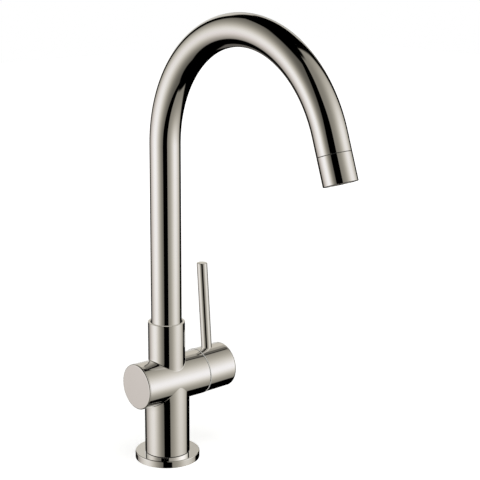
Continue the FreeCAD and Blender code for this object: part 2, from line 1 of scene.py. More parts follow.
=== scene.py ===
# %% [markdown]
# # A kitchen mixer tap in polished nickel
# The imported model gives every piece of the tap in metres: +Z is up, the spout reaches towards -Y and
# the handle stands on the +X end of the barrel. We load it first, and the boxes of its nodes give sizes
# below. Its plain materials go, since every piece gets a finish of its own below.

# %% Load the imported model
import json

import bmesh
import bpy
import numpy as np
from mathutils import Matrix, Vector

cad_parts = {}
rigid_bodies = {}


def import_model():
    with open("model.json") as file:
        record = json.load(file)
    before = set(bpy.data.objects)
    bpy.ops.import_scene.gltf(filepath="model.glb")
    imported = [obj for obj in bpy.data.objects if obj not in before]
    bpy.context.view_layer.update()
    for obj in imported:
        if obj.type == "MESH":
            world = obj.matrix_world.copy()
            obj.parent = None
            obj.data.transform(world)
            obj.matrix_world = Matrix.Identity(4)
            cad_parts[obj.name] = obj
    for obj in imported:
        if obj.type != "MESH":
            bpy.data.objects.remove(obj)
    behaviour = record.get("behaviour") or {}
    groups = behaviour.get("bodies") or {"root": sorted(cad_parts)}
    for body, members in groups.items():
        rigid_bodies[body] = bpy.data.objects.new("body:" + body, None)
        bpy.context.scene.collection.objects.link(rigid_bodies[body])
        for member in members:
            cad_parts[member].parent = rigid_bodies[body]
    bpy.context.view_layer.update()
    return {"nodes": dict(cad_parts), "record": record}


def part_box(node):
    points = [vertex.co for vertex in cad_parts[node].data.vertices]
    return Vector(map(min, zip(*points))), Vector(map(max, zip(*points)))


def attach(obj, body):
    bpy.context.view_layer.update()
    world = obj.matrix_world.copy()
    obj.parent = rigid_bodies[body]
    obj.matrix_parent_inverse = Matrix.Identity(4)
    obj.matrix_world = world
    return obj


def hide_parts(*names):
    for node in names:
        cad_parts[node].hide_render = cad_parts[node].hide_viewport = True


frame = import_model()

nodes = frame["nodes"]
scene = bpy.context.scene
for plain in list(bpy.data.materials):
    bpy.data.materials.remove(plain)

# %% [markdown]
# ## Sizes read from the model
# A mirror finish shows every facet, so the plated pieces are made again as fine surfaces in the same
# places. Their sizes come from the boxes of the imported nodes. Only what a box can't tell is written
# here as a named value.

# %% Sizes, in metres
MM = 0.001
flange_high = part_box("base_flange")[1]
body_low, body_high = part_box("mixer_body")
cap_low, cap_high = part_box("barrel_end_cap")
bush_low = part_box("spout_bush")[0]
tube_low, tube_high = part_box("spout_tube")
bonnet_low, bonnet_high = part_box("bonnet")

flange_radius = flange_high.x
flange_top = flange_high.z
barrel_radius = body_high.y
barrel_height = (cap_low.z + cap_high.z) / 2
barrel_left = body_low.x
barrel_right = body_high.x
collar_top = body_high.z
stem_radius = barrel_radius - 0.2 * MM
collar_radius = 17.0 * MM
recess_radius = 14.8 * MM
blend_radius = 1.0 * MM
tube_radius = tube_high.x
fine_edge = 0.2 * MM
slip_fit = 0.1 * MM
screw_fit = 0.05 * MM
print("barrel axis at", round(barrel_height, 4), "tube radius", round(tube_radius, 4))

# %% [markdown]
# ## Surfaces from formulas
# Every plated piece of a tap is turned on a lathe or bent from tube. So one helper rounds the corners
# of an outline, and one carries the outline round an axis. A real edge is never perfectly sharp: its
# small round catches a thin line of light, and that line is what makes metal look solid.

# %% Helpers that make grids of points
SIDES = 144
AXIS_X = np.array([1.0, 0.0, 0.0])
AXIS_Y = np.array([0.0, 1.0, 0.0])
AXIS_Z = np.array([0.0, 0.0, 1.0])
DECK_CENTRE = np.zeros(3)
turns = np.linspace(0, 2 * np.pi, SIDES, endpoint=False)


def unit(vector):
    """The vector divided by its length."""
    return vector / np.linalg.norm(vector)


def bow(start, stop, steps):
    """Points from one vector to another of the same length, turned evenly: the weights are
    sin((1 - t) w) / sin w and sin(t w) / sin w, where w is the angle between the two vectors."""
    share = np.linspace(0, 1, steps).reshape((-1,) + (1,) * start.ndim)
    length = np.linalg.norm(start, axis=-1, keepdims=True)
    angle = np.arccos(np.clip(np.sum(start * stop, axis=-1, keepdims=True) / length**2, -1, 1))
    return (np.sin((1 - share) * angle) * start + np.sin(share * angle) * stop) / np.sin(angle)


def outline(*corners, steps=9):
    """Outline of a turned piece from corners (radius, place along the axis), with a third number
    where the edge is rounded. There both straight sides stop short and a circle arc that touches them
    takes over; its centre lies on the bisector. One more point beside each end of the arc, a third of
    the round away, keeps the flat sides flat where the light is shaded."""
    points = []
    for place, (radius, along, *rounding) in enumerate(corners):
        here = np.array([radius, along])
        if not rounding:
            points.append(here[None])
            continue
        size = rounding[0]
        before = unit(np.array(corners[place - 1][:2]) - here)
        after = unit(np.array(corners[place + 1][:2]) - here)
        half = np.arccos(np.clip(before @ after, -1, 1)) / 2
        reach = size / np.tan(half)
        centre = here + unit(before + after) * size / np.sin(half)
        arc = centre + bow(here + before * reach - centre, here + after * reach - centre, steps)
        beside = reach + size / 3
        points += [(here + before * beside)[None], arc, (here + after * beside)[None]]
    return np.concatenate(points)


def square_to(axis):
    """Two directions square to an axis and to each other, from which angles round it are counted."""
    side = AXIS_Y if abs(axis @ AXIS_X) > 0.5 else AXIS_X
    return side, np.cross(axis, side)


def turned(profile, origin, axis, sides=SIDES):
    """Surface of revolution: origin + along * axis + radius * (cos a * side + sin a * other), over
    all angles a."""
    side, other = square_to(axis)
    angle = np.linspace(0, 2 * np.pi, sides, endpoint=False)[:, None]
    ring = np.cos(angle) * side + np.sin(angle) * other
    return np.asarray(origin) + profile[:, 1, None, None] * axis + profile[:, 0, None, None] * ring


print("outline helpers ready,", SIDES, "steps to a turn")

# %% [markdown]
# A grid of points becomes a mesh at once, because numpy numbers the corners of all its faces together.
# Then the points that meet are merged, so that seams and poles close, and all faces turn outwards.

# %% Helpers that make meshes
SHARP_ANGLE = np.radians(35.0)
SAME_POINT = 2e-7
NO_LENGTH = 1e-8


def quads(rows, columns, first):
    """Corner numbers of the four-sided faces of a grid whose columns close up into a ring."""
    row, column = np.meshgrid(np.arange(rows - 1), np.arange(columns), indexing="ij")
    right = (column + 1) % columns
    low, high = row * columns, (row + 1) * columns
    corners = [low + column, low + right, high + right, high + column]
    return np.stack(corners, axis=-1).reshape(-1, 4) + first


def finish_mesh(mesh, *more):
    """Add the faces of more meshes, merge the points that meet, drop empty faces, face outwards and
    shade smooth up to the sharp angle."""
    work = bmesh.new()
    for part in (mesh, *more):
        work.from_mesh(part)
    bmesh.ops.remove_doubles(work, verts=work.verts, dist=SAME_POINT)
    bmesh.ops.dissolve_degenerate(work, edges=work.edges, dist=NO_LENGTH)
    bmesh.ops.recalc_face_normals(work, faces=work.faces)
    work.to_mesh(mesh)
    work.free()
    mesh.shade_smooth()
    mesh.set_sharp_from_angle(angle=SHARP_ANGLE)


def linked(name, data):
    """A new object with this data, in the scene."""
    made = bpy.data.objects.new(name, data)
    scene.collection.objects.link(made)
    return made


def mesh_piece(name, *grids, open_faces=None):
    """One object from several grids of points. open_faces marks the faces of the first grid that are
    left out for a hole."""
    points, faces, first = [], [], 0
    for place, grid in enumerate(grids):
        grid_faces = quads(grid.shape[0], grid.shape[1], first)
        if place == 0 and open_faces is not None:
            grid_faces = grid_faces[~open_faces.reshape(-1)]
        points.append(grid.reshape(-1, 3))
        faces.append(grid_faces)
        first += grid.shape[0] * grid.shape[1]
    mesh = bpy.data.meshes.new(name)
    mesh.from_pydata(np.concatenate(points), [], np.concatenate(faces))
    finish_mesh(mesh)
    print(name, "faces", len(mesh.polygons))
    return linked(name, mesh)


print("mesh helpers ready, points closer than", SAME_POINT, "are merged")

# %% [markdown]
# ## Holes in a round wall
# Two grub screws sit in drilled holes, one in the back of the collar and one under the handle. A
# Boolean would leave long thin faces that spoil a mirror. Instead the grid itself is bent: a square
# block of it round the hole is pushed out to a circle, and the faces inside the circle are left out.

# %% Helpers that open a hole in a grid
BLOCK_STEPS = 2
# Places of the rows about a hole, counted in blocks from its centre
HOLE_ROWS = np.array([5.0, 3.6, 2.0, 1.0, 0.0, -1.0, -2.0, -3.6, -5.0]) / BLOCK_STEPS
NEARLY_ZERO = 1e-9
WITH_EDGE = 1.001


def open_hole(across, along, radius, block, border):
    """Offsets (across, along) from the hole's centre, bent so that the square |offset| = block
    becomes the circle of the given radius. With q the larger of the two offsets, a point goes to the
    circle of radius * q / block in its own direction, and the bend fades out as q grows from block
    to border. The third result tells which points are inside."""
    size = np.maximum(np.abs(across), np.abs(along))
    distance = np.maximum(np.hypot(across, along), NEARLY_ZERO)
    fade = np.clip((border - size) / (border - block), 0, 1)
    scale = 1 + fade * (radius * size / block / distance - 1)
    return across * scale, along * scale, size < block * WITH_EDGE


def hole_block(wall_radius):
    """Half the side of the block that becomes the hole: two steps of the grid round the wall."""
    return BLOCK_STEPS * (2 * np.pi / SIDES) * wall_radius


def holed_rows(radius, place, hole_turn, hole_radius, order, origin, axis):
    """Rows of a round wall about a drilled hole at a turn and a place along the axis, bent by
    open_hole and carried round as in turned. order is 1 for rows that run back along the axis, -1
    for rows that run on. Also tells which points are inside the hole."""
    block = hole_block(radius)
    across = np.broadcast_to((turns - hole_turn) * radius, (len(HOLE_ROWS), SIDES))
    along = np.broadcast_to((order * HOLE_ROWS * block)[:, None], across.shape)
    across, along, inside = open_hole(across, along, hole_radius, block, HOLE_ROWS[0] * block)
    angle = (across / radius + hole_turn)[..., None]
    side, other = square_to(axis)
    ring = np.cos(angle) * side + np.sin(angle) * other
    return origin + (place + along)[..., None] * axis + radius * ring, inside


def hole_loop(inside):
    """Row and column numbers of the rim of the block of inside points, once round."""
    rows = np.flatnonzero(inside.any(axis=1))
    columns = np.flatnonzero(inside.any(axis=0))
    low, high, left, right = rows[0], rows[-1], columns[0], columns[-1]
    up, on = np.arange(low, high), np.arange(left, right)
    down, back = np.arange(high, low, -1), np.arange(right, left, -1)
    row = np.concatenate([np.full_like(on, low), up, np.full_like(on, high), down])
    column = np.concatenate([on, np.full_like(up, right), back, np.full_like(up, left)])
    return row, column


def hole_faces(inside, first, rows):
    """For a grid of so many rows, where the rows about the hole start at the row called first: True
    for each face whose four corners are all inside the hole."""
    beside = np.roll(inside, -1, axis=1)
    missing = np.zeros((rows - 1, SIDES), bool)
    missing[first:first + len(inside) - 1] = inside[:-1] & beside[:-1] & inside[1:] & beside[1:]
    return missing


def drilled_wall(rim, direction, depth):
    """Wall and floor of a drilled hole: the rim's points moved along the drill, first by a tenth of
    the depth to keep the edge crisp, and at last drawn to their middle."""
    floor = rim + direction * depth
    middle = np.broadcast_to(floor.mean(axis=0), floor.shape)
    return np.stack([rim, rim + direction * depth * 0.1, floor, middle])


print("hole helpers ready,", len(HOLE_ROWS), "rows about a hole")

# %% [markdown]
# ## Shader expressions
# A material is a graph of nodes. Writing it as arithmetic keeps it readable: a small class wraps a
# socket, and adding or multiplying two of them adds a Math node. One method makes every other kind
# of node.


# %% A socket that can be calculated with
class Wire:
    """An output socket in a node tree. Arithmetic on it adds Math nodes, and node() adds any other
    node."""

    def __init__(self, tree, socket=None):
        self.tree = tree
        self.socket = socket

    def node(self, kind, settings=None, inputs=None, output=0):
        """Add a node of this type: settings first, then the values or links of its inputs. Returns
        one output."""
        made = self.tree.nodes.new(kind)
        for name, value in (settings or {}).items():
            setattr(made, name, value)
        for name, value in (inputs or {}).items():
            if isinstance(value, Wire):
                self.tree.links.new(value.socket, made.inputs[name])
            else:
                made.inputs[name].default_value = value
        return Wire(self.tree, made.outputs[output] if len(made.outputs) else None)

    def math(self, operation, first, second=0.0):
        """A Math node on two values."""
        return self.node("ShaderNodeMath", {"operation": operation}, {0: first, 1: second})

    def __add__(self, other):
        return self.math("ADD", self, other)

    def __sub__(self, other):
        return self.math("SUBTRACT", self, other)

    def __rsub__(self, other):
        return self.math("SUBTRACT", other, self)

    def __mul__(self, other):
        return self.math("MULTIPLY", self, other)

    def __truediv__(self, other):
        return self.math("DIVIDE", self, other)

    __radd__ = __add__
    __rmul__ = __mul__


def ease(value, start, stop):
    """Smooth step from 0 at start to 1 at stop; start may be the larger."""
    return value.node(
        "ShaderNodeMapRange", {"interpolation_type": "SMOOTHSTEP"},
        {"Value": value, "From Min": start, "From Max": stop})


def stairs(value, *steps):
    """Sum of smooth steps, each given as (height, start, stop)."""
    return sum(height * ease(value, start, stop) for height, start, stop in steps)


print("shader class ready")

# %% [markdown]
# ## Finishes
# Every finish here is built the same way: two close tones and a roughness that wander in soft patches,
# and a fine grain in the surface. All of it lies on Object coordinates, so it stays with the piece.
# What differs is the size of the patches, the stretch of the grain and how deep it is.

# %% One recipe for all finishes
BUMP_DISTANCE = 0.0002


def blotches(wire, scale, detail, stretch=(1.0, 1.0, 1.0)):
    """Soft noise from 0 to 1 on Object coordinates, scale blotches to the metre."""
    place = wire.node("ShaderNodeTexCoord", output="Object")
    place = wire.node("ShaderNodeMapping", inputs={"Vector": place, "Scale": stretch})
    settings = {"Vector": place, "Scale": scale, "Detail": detail}
    return wire.node("ShaderNodeTexNoise", inputs=settings, output="Fac")


def finish(name, tones, patch, grain, depth, rough, metallic=0.0):
    """A material. tones are the two colours, patch and grain are (blotches to the metre, detail,
    stretch), depth is the strength of the grain, and rough is (roughness, what the patches add)."""
    material = bpy.data.materials.new(name)
    material.use_nodes = True
    wire = Wire(material.node_tree)
    shader = next(node for node in wire.tree.nodes if node.type == "BSDF_PRINCIPLED")
    shader.inputs["Metallic"].default_value = metallic
    patches = blotches(wire, *patch)
    colour = wire.node(
        "ShaderNodeMix", {"data_type": "RGBA"},
        {"Factor": patches, "A": (*tones[0], 1.0), "B": (*tones[1], 1.0)}, output="Result")
    height = blotches(wire, *grain)
    bump = wire.node(
        "ShaderNodeBump", inputs={"Height": height, "Strength": depth, "Distance": BUMP_DISTANCE},
        output="Normal")
    links = {"Base Color": colour, "Roughness": rough[0] + patches * rough[1], "Normal": bump}
    for socket, value in links.items():
        wire.tree.links.new(value.socket, shader.inputs[socket])
    print("made", material.name)
    return material


# %% [markdown]
# Polished nickel is nearly a mirror with a warm tint. What tells it from chrome is that tint, and what
# makes it real is that no mirror is perfect: wiping leaves faint soft patches, and polishing leaves
# very fine marks. Both are kept weak, because the shapes in the reflection carry the look. The dome
# under the handle has the same plate left satin, with broad soft reflections and turning lines.

# %% Nickel plate
NICKEL_TONES = ((0.86, 0.815, 0.76), (0.888, 0.845, 0.79))
nickel = finish(
    "polished_nickel", NICKEL_TONES, patch=(55.0, 3.0), grain=(900.0, 3.0, (1.0, 1.0, 0.15)),
    depth=0.004, rough=(0.035, 0.03), metallic=1.0)
satin = finish(
    "satin_nickel", ((0.80, 0.765, 0.715), (0.84, 0.805, 0.76)), patch=(120.0, 3.0),
    grain=(1200.0, 3.0, (3.0, 0.4, 0.4)), depth=0.06, rough=(0.36, 0.1), metallic=1.0)

# %% [markdown]
# ## The hidden finishes
# Inside sit bare brass, steel screws, rubber, acetal and ceramic. They show in the gaps, from below,
# and when the handle moves. Each has the texture that its making leaves: turning lines on the brass,
# short drawn lines on the steel, moulded grain, or a lapped sheen.

# %% Metals that stay bare
DRAWN_LINES = (1500.0, 2.0, (0.2, 1.0, 1.0))
brass = finish(
    "bare_brass", ((0.70, 0.50, 0.23), (0.76, 0.60, 0.33)), patch=(160.0, 4.0),
    grain=(700.0, 2.0, (4.0, 4.0, 0.4)), depth=0.15, rough=(0.24, 0.16), metallic=1.0)
steel = finish(
    "stainless_steel", ((0.56, 0.56, 0.57), (0.66, 0.66, 0.66)), patch=DRAWN_LINES,
    grain=DRAWN_LINES, depth=0.1, rough=(0.2, 0.12), metallic=1.0)

# %% Rubber, plastics and ceramic
SOFT_PATCH = (220.0, 4.0)
GRAIN_DETAIL = 2.0
finishes = {material.name: material for material in (nickel, brass, steel)}
# Dark tone, pale tone, grains to the metre, depth of the grain, roughness
moulded = {
    "black_rubber": ((0.022, 0.022, 0.022), (0.040, 0.040, 0.041), 2600.0, 0.3, (0.65, 0.2)),
    "black_acetal": ((0.032, 0.032, 0.033), (0.050, 0.050, 0.050), 3000.0, 0.12, (0.38, 0.15)),
    "white_acetal": ((0.83, 0.83, 0.79), (0.88, 0.88, 0.86), 3000.0, 0.1, (0.36, 0.15)),
    "grey_plastic": ((0.29, 0.30, 0.31), (0.35, 0.36, 0.37), 3400.0, 0.12, (0.35, 0.2)),
    "white_ceramic": ((0.88, 0.87, 0.83), (0.92, 0.91, 0.89), 4200.0, 0.04, (0.16, 0.1))}
for name, (dark, pale, grains, depth, rough) in moulded.items():
    grain = (grains, GRAIN_DETAIL)
    finishes[name] = finish(name, (dark, pale), SOFT_PATCH, grain, depth, rough)
rubber = finishes["black_rubber"]

# %% [markdown]
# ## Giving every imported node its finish
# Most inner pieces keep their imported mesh. The record names a finish slot for each node, and each
# finish has the name of its slot, so one table dresses them all.

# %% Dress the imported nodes
slot_of = {part["node"]: part["material_slot"] for part in frame["record"]["subparts"]}
bodies = frame["record"]["behaviour"]["bodies"]
body_of = {node: body for body, members in bodies.items() for node in members}
for name, node in nodes.items():
    node.data.materials.clear()
    node.data.materials.append(finishes[slot_of[name]])
print("dressed", len(nodes), "nodes")

# %% [markdown]
# Two helpers put new pieces in place. A fine surface stands in for a imported node, with its finish, on
# its body. A thin ring fills a joint where the real tap has a seal or a lip, too small for a node of
# its own. Two such rings carry painted light: a black one is painted shade at the stem's foot, and a
# white one is a painted highlight in the handle's seam.


# %% Helpers that put pieces in place
def stand_in(piece, name, material=None):
    """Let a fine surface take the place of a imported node: same body, and the same finish unless
    another is given."""
    piece.data.materials.append(material or finishes[slot_of[name]])
    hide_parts(name)
    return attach(piece, body_of[name])


def thin_ring(name, inner, outer, start, stop, origin, axis, material, body):
    """A ring that fills a joint: its section is a rectangle from the inner to the outer radius and
    from start to stop along the axis."""
    section = outline((inner, start), (outer, start), (outer, stop), (inner, stop), (inner, start))
    ring = mesh_piece(name, turned(section, origin, axis))
    ring.data.materials.append(material)
    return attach(ring, body)


print("bodies to ride on", sorted(bodies))

# %% [markdown]
# ## Base flange
# The flange is a flat round plate on the deck, six and a half millimetres thick. Its top edge is
# slightly rounded, and underneath a groove holds the gasket. It is turned from one closed outline.

# %% Base flange
gasket_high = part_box("deck_gasket")[1]
gasket_width = 3.0 * MM
groove_outer = gasket_high.x + slip_fit
groove_inner = gasket_high.x - gasket_width - slip_fit
spigot_radius = stem_radius - 1.5 * MM
flange_bore = spigot_radius + slip_fit
flange_round = 0.8 * MM
flange_outline = outline(
    (flange_bore, 0), (groove_inner, 0), (groove_inner, gasket_high.z),
    (groove_outer, gasket_high.z), (groove_outer, 0), (flange_radius, 0, fine_edge),
    (flange_radius, flange_top, flange_round), (flange_bore, flange_top), (flange_bore, 0))
flange = mesh_piece("base_flange_plated", turned(flange_outline, DECK_CENTRE, AXIS_Z))
stand_in(flange, "base_flange")

# %% [markdown]
# ## Stem, barrel and collar
# These three cylinders are one casting. Where a column meets the barrel there is a small blend, the
# path of a ball that rolls along the corner and touches both. Its centre lies one ball radius outside
# both cylinders, and the blend is an arc about it between the two points where the ball touches.


# %% Column with its blend into the barrel
def rolling_blend(column_radius, upward, steps=9):
    """Rows of points of the blend. With c and b the two cylinder radii plus the ball's, and h the
    barrel's height, the ball's centre is (c cos a, c sin a, h +- sqrt(b^2 - (c sin a)^2)). The arc
    turns about that centre from the column's side to the direction of the barrel's axis."""
    reach = column_radius + blend_radius
    barrel_reach = barrel_radius + blend_radius
    x, y = reach * np.cos(turns), reach * np.sin(turns)
    drop = np.sqrt(barrel_reach**2 - y**2)
    centre = np.stack([x, y, barrel_height + upward * drop], axis=-1)
    to_column = -np.stack([np.cos(turns), np.sin(turns), np.zeros(SIDES)], axis=-1)
    to_barrel = np.stack([np.zeros(SIDES), -y, -upward * drop], axis=-1) / barrel_reach
    return centre + blend_radius * bow(to_column, to_barrel, steps)


def wall_rows(column_radius, start, blend, shares):
    """Rows of a straight wall between a level ring and the edge of the blend, at the given shares of
    the way."""
    low = turned(np.array([[column_radius, start]]), DECK_CENTRE, AXIS_Z)[0]
    return low + shares[:, None, None] * (blend[0] - low)


barrel_origin = np.array([0, 0, barrel_height])
barrel_middle = np.broadcast_to(barrel_origin, (1, SIDES, 3))
print("blend radius", blend_radius)

# %% [markdown]
# The foot of the stem is hollow. Below the flange's top it steps in to a spigot, and inside there is a
# round cavity for the hoses. A ring in black rubber fills the fine joint just above the flange; its
# black is painted shade, standing in for the shadow in that joint.

# %% Foot and wall of the stem
cavity_radius = spigot_radius - 2.0 * MM
cavity_top = 30.0 * MM
spigot_foot = body_low.z
foot_joint = 0.4 * MM
foot_round = 0.15 * MM
joint_radius = stem_radius - foot_joint
joint_top = flange_top + foot_joint
wall_start = flange_top + 2 * MM
foot = outline(
    (cavity_radius, cavity_top), (cavity_radius, spigot_foot),
    (spigot_radius, spigot_foot, fine_edge), (spigot_radius, flange_top),
    (joint_radius, flange_top), (joint_radius, joint_top),
    (stem_radius, joint_top, foot_round), (stem_radius, wall_start))
# Painted shade: the black of this ring stands in for the shadow in the joint above the flange.
foot_shade_ring = thin_ring(
    "foot_shade_ring", joint_radius, stem_radius - slip_fit, flange_top, joint_top, DECK_CENTRE, AXIS_Z,
    rubber, "body")
stem_blend = rolling_blend(stem_radius, -1)
stem_wall = wall_rows(stem_radius, wall_start, stem_blend, np.linspace(0, 1, 10)[1:-1])
foot_rows = turned(foot, DECK_CENTRE, AXIS_Z)
stem_grid = np.concatenate([foot_rows, stem_wall, stem_blend, barrel_middle])

# %% [markdown]
# The ceiling of that cavity carries the two hose connections and the hole for the fixing stud. It is a
# flat plate with three holes, which a filled flat curve gives in one go. Each hole is a turned bore.

# %% Ceiling of the foot
HOLE_SIDES = 48
waterway_share = 0.7
waterway_depth = 1.6


def flat_plate(name, height, *rings):
    """Filled flat outline at a height: the first ring of points (x, y) is the edge, the others are
    holes."""
    curve = bpy.data.curves.new(name, "CURVE")
    curve.dimensions = "2D"
    curve.fill_mode = "BOTH"
    for ring in rings:
        spline = curve.splines.new("POLY")
        spline.points.add(len(ring) - 1)
        points = np.column_stack([ring, np.zeros(len(ring)), np.ones(len(ring))])
        spline.points.foreach_set("co", points.ravel())
        spline.use_cyclic_u = True
    holder = linked(name, curve)
    filled = holder.evaluated_get(bpy.context.evaluated_depsgraph_get())
    mesh = bpy.data.meshes.new_from_object(filled)
    bpy.data.objects.remove(holder)
    points = np.empty(len(mesh.vertices) * 3)
    mesh.vertices.foreach_get("co", points)
    points[2::3] = height
    mesh.vertices.foreach_set("co", points)
    return mesh


def threaded_hole(mount):
    """Wall of a tapped hole: a straight bore, a narrower way above it, and a closed end out of
    sight."""
    radius = mount["dims"]["r_mm"] * MM
    depth = mount["dims"]["length_mm"] * MM
    way, end = radius * waterway_share, depth * waterway_depth
    bore = outline((radius, 0), (radius, depth), (way, depth), (way, end), (0, end))
    return turned(bore, mount["pos_m"], AXIS_Z, HOLE_SIDES)


threaded = [mount for mount in frame["record"]["mounts"] if mount["kind"] == "threaded_hole"]
hole_grids = [threaded_hole(mount) for mount in threaded]
rings = [grid[0, :, :2] for grid in (foot_rows, *hole_grids)]
ceiling = flat_plate("cavity_ceiling", cavity_top, *rings)
print("ceiling with", len(hole_grids), "holes")

# %% [markdown]
# The barrel lies across the column. Its left edge, where the end cap sits, and its right edge beside
# the handle, with a very small chamfer, are the two fine lines that the eye finds on it. The column
# passes through it, so it can stay one plain turned shape.

# %% Barrel
chamfer = 0.15 * MM
mouth_radius = 19.0 * MM
mouth_floor = barrel_right - 6.6 * MM
barrel_outline = outline(
    (0, barrel_left), (barrel_radius, barrel_left, fine_edge),
    (barrel_radius, barrel_right - chamfer), (barrel_radius - chamfer, barrel_right),
    (mouth_radius, barrel_right), (mouth_radius, mouth_floor), (0, mouth_floor))
barrel_grid = turned(barrel_outline, barrel_origin, AXIS_X)
print("barrel rows", len(barrel_grid))

# %% [markdown]
# The collar is the socket of the spout. Its rim stands open round the tube, with a dark bearing sleeve
# below, and a drilled hole at the back holds the screw that keeps the spout in.

# %% Collar with its screw hole
screw_low, screw_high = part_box("spout_grub_screw")
screw_height = (screw_low.z + screw_high.z) / 2
screw_hole_radius = (screw_high.z - screw_low.z) / 2 + screw_fit
screw_hole_depth = 2.2 * MM
back = np.pi / 2
rim_round = 0.3 * MM
rim_depth = 8 * MM
rim = outline(
    (0, bush_low.z), (recess_radius, bush_low.z), (recess_radius, collar_top, fine_edge),
    (collar_radius, collar_top, rim_round), (collar_radius, collar_top - rim_depth))
rim_rows = turned(rim, DECK_CENTRE, AXIS_Z)
screw_rows, inside = holed_rows(
    collar_radius, screw_height, back, screw_hole_radius, 1, DECK_CENTRE, AXIS_Z)
below_hole = screw_height - HOLE_ROWS[0] * hole_block(collar_radius) - 0.5 * MM
collar_blend = rolling_blend(collar_radius, 1)
collar_wall = wall_rows(collar_radius, below_hole, collar_blend, np.linspace(0, 1, 6)[:-1])
collar_grid = np.concatenate([rim_rows, screw_rows, collar_wall, collar_blend, barrel_middle])
screw_wall = drilled_wall(screw_rows[hole_loop(inside)], -AXIS_Y, screw_hole_depth)
screw_faces = hole_faces(inside, len(rim_rows), len(collar_grid))
print("collar rows", len(collar_grid), "faces left out", screw_faces.sum())

# %% [markdown]
# Barrel, stem and collar become one piece, because the casting is one piece. It stands for the packed
# body. The dark lip of the bearing sleeve closes the gap in the rim.

# %% Mixer body in one piece
lip_low = collar_top - 1.2 * MM
lip_high = collar_top - 0.15 * MM
mixer = mesh_piece(
    "mixer_body_plated", collar_grid, screw_wall, barrel_grid, stem_grid, *hole_grids,
    open_faces=screw_faces)
finish_mesh(mixer.data, ceiling)
stand_in(mixer, "mixer_body")
thin_ring(
    "rim_seal", tube_radius + slip_fit, recess_radius, lip_low, lip_high, DECK_CENTRE, AXIS_Z,
    finishes["black_acetal"], "body")
print("mixer body faces", len(mixer.data.polygons))

# %% [markdown]
# ## End cap
# A plain polished disc closes the left end of the barrel. The hairline behind its rim is the joint:
# both edges have a tiny round, and the dark line lies between them.

# %% Barrel end cap
cap_round = 1.0 * MM
cap_outline = outline(
    (0, cap_low.x), (barrel_radius, cap_low.x, cap_round),
    (barrel_radius, barrel_left, fine_edge), (0, barrel_left))
end_cap = mesh_piece("barrel_end_cap_plated", turned(cap_outline, barrel_origin, AXIS_X))
stand_in(end_cap, "barrel_end_cap")

# %% [markdown]
# ## Spout
# The gooseneck is one drawn tube: straight up out of the collar, round a bend of a little under half a
# circle, and a short straight tip. A circle carried along that path makes the outside, and a smaller
# one the bore.

# %% Path of the spout
bend_radius = 108.0 * MM
bend_angle = np.radians(160.5)
tip_length = 16.2 * MM
tube_wall = 1.5 * MM
BEND_STEPS, RISE_STEPS, TIP_STEPS = 132, 14, 5
bend_start = tube_high.z - tube_radius - bend_radius
bend_centre = np.array([0, -bend_radius, bend_start])
flow = np.array([0, -np.sin(bend_angle), np.cos(bend_angle)])


def spout_path(foot):
    """Points of the centre line and its directions. On the bend the point is centre + R (0, cos a,
    sin a) and the direction is (0, -sin a, cos a), for a from 0 to the bend's angle; straight runs
    are added before and after."""
    angle = np.linspace(0, bend_angle, BEND_STEPS)[:, None]
    bend = bend_centre + bend_radius * (np.cos(angle) * AXIS_Y + np.sin(angle) * AXIS_Z)
    way = -np.sin(angle) * AXIS_Y + np.cos(angle) * AXIS_Z
    rise = np.linspace(foot, bend_start, RISE_STEPS)[:-1, None] * AXIS_Z
    tip = bend[-1] + np.linspace(0, tip_length, TIP_STEPS)[1:, None] * flow
    points = np.concatenate([rise, bend, tip])
    upward, onward = np.broadcast_to(AXIS_Z, rise.shape), np.broadcast_to(flow, tip.shape)
    return points, np.concatenate([upward, way, onward])


path, path_way = spout_path(tube_low.z)
seam = path[-1]
print("spout path", len(path), "points, seam at", np.round(seam, 4))


# %% Spout tube
def carried_circle(points, directions, radius):
    """A circle carried along a path in the YZ plane: point + radius (cos a * X + sin a * S), where S
    is the cross product of the path's direction and X."""
    sideways = np.cross(directions, AXIS_X)[:, None]
    ring = np.cos(turns)[:, None] * AXIS_X + np.sin(turns)[:, None] * sideways
    return points[:, None] + radius * ring


lip = outline(
    (tube_radius, -2 * fine_edge), (tube_radius, 0, fine_edge), (tube_radius - tube_wall, 0),
    steps=5)
skin = carried_circle(path[:-1], path_way[:-1], tube_radius)
tip_rows = np.concatenate([
    carried_circle((seam + along * flow)[None], flow[None], radius) for radius, along in lip])
bore = carried_circle(path, path_way, tube_radius - tube_wall)[::-1]
spout = mesh_piece("spout_tube_plated", np.concatenate([skin, tip_rows, bore, skin[:1]]))
stand_in(spout, "spout_tube")

# %% [markdown]
# ## Aerator sleeve
# The last piece of the spout is a sleeve screwed on level with the tube, so only a hairline shows. A
# dark rubber ring lies in it. The mouth is open, and a little way in sits the grid for the water.

# %% Aerator housing
sleeve_length = 23.2 * MM
seam_width = 0.35 * MM
seam_floor = tube_radius - 1 * MM
mouth_inner = 11.0 * MM
mouth_round = 0.3 * MM
tip_round = 0.25 * MM
thread_inner = 12.1 * MM
shoulder = 12.5 * MM
sleeve_outline = outline(
    (thread_inner, 0), (seam_floor, 0), (seam_floor, seam_width),
    (tube_radius, seam_width, fine_edge), (tube_radius, sleeve_length, tip_round),
    (mouth_inner, sleeve_length, mouth_round), (mouth_inner, shoulder),
    (thread_inner, shoulder), (thread_inner, 0))
sleeve = mesh_piece("aerator_housing_plated", turned(sleeve_outline, seam, flow))
stand_in(sleeve, "aerator_housing")
tip_seal = thin_ring(
    "tip_seal", seam_floor, tube_radius - fine_edge, 0, seam_width, seam, flow, rubber, "spout")
